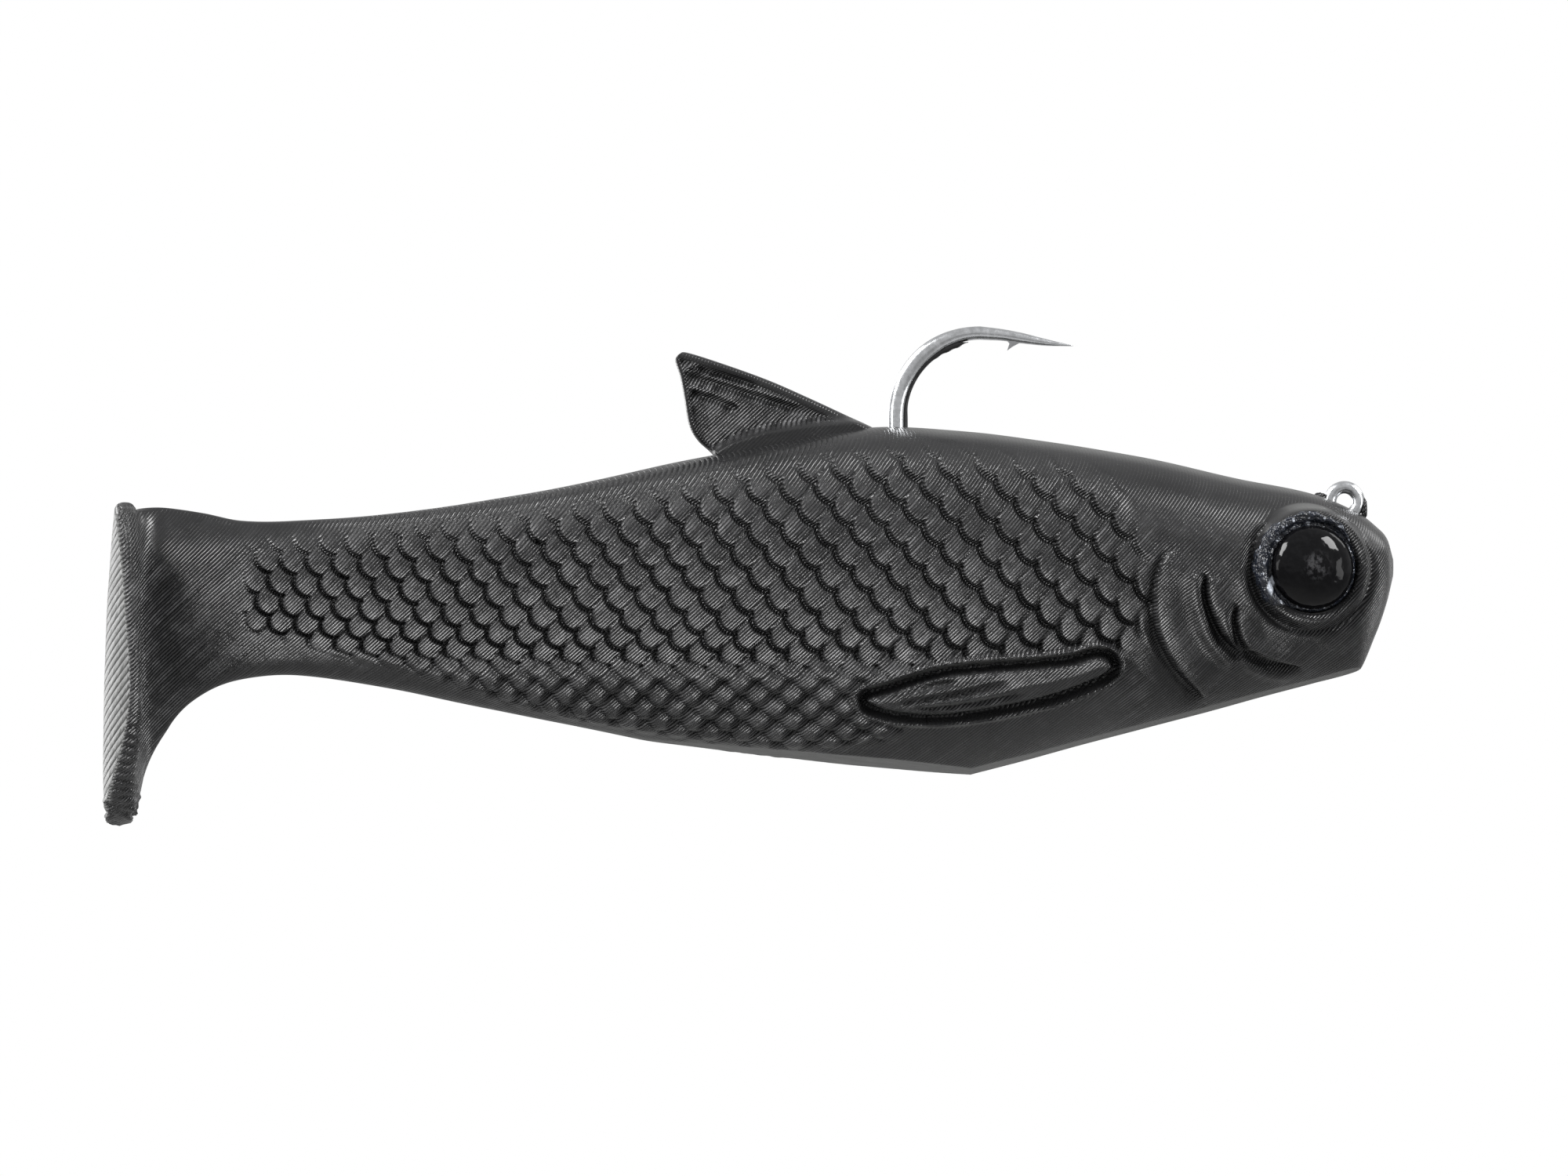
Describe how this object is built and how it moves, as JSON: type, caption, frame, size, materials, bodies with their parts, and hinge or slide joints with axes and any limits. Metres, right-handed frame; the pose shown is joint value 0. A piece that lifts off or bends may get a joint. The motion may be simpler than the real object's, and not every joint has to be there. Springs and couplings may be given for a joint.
{
  "type": "swimbait",
  "caption": "Soft-bodied swimbait with a boot-shaped paddle tail, a soft dorsal fin, domed eyes, an internal keel weight and a moulded-in single hook that leaves through the back.",
  "frame": {"origin": "centre of the line-tie ring, which is the hook's eye, at the top of the nose", "axes": "+X towards the nose along the fish, +Z towards its back, Y across it; the fish is the same on both sides of the XZ plane and its right side is at -Y"},
  "size_m": [0.16, 0.028, 0.0614],
  "materials": {
    "soft_body": "satin black soft plastic with fine printed-master ridges",
    "plated_wire": "bright plated forged wire",
    "ballast_metal": "dull cast metal",
    "eye_dome": "high gloss black dome",
    "eye_backing": "flat black film",
    "clear_glue": "wet clear glue over black"
  },
  "bodies": {
    "front": {"body_front": "soft_body", "hook": "plated_wire", "ballast": "ballast_metal", "eye_right": "eye_dome", "eye_left": "eye_dome", "eye_backing_right": "eye_backing", "eye_backing_left": "eye_backing", "eye_glue_right": "clear_glue", "eye_glue_left": "clear_glue"},
    "rear": {"body_rear": "soft_body"},
    "stalk": {"tail_stalk": "soft_body"},
    "paddle": {"tail_paddle": "soft_body"},
    "fin": {"dorsal_fin": "soft_body"}
  },
  "joints": [
    {"name": "rear_bend", "type": "hinge", "parent": "front", "child": "rear", "pos_m": [-0.0881, 0, -0.013], "axis": [0, 0, 1], "range_deg": [-20, 20], "stiffness_Nm_per_rad": 0.1},
    {"name": "stalk_bend", "type": "hinge", "parent": "rear", "child": "stalk", "pos_m": [-0.1124, 0, -0.013], "axis": [0, 0, 1], "range_deg": [-25, 25], "stiffness_Nm_per_rad": 0.02},
    {"name": "tail_kick", "type": "hinge", "parent": "stalk", "child": "paddle", "pos_m": [-0.1367, 0, -0.013], "axis": [0, 0, 1], "range_deg": [-40, 40], "stiffness_Nm_per_rad": 0.004},
    {"name": "dorsal_fold", "type": "hinge", "parent": "front", "child": "fin", "pos_m": [-0.0802, 0, 0.0069], "axis": [0.9869, 0, 0.1612], "range_deg": [-45, 45], "stiffness_Nm_per_rad": 0.0009}
  ]
}
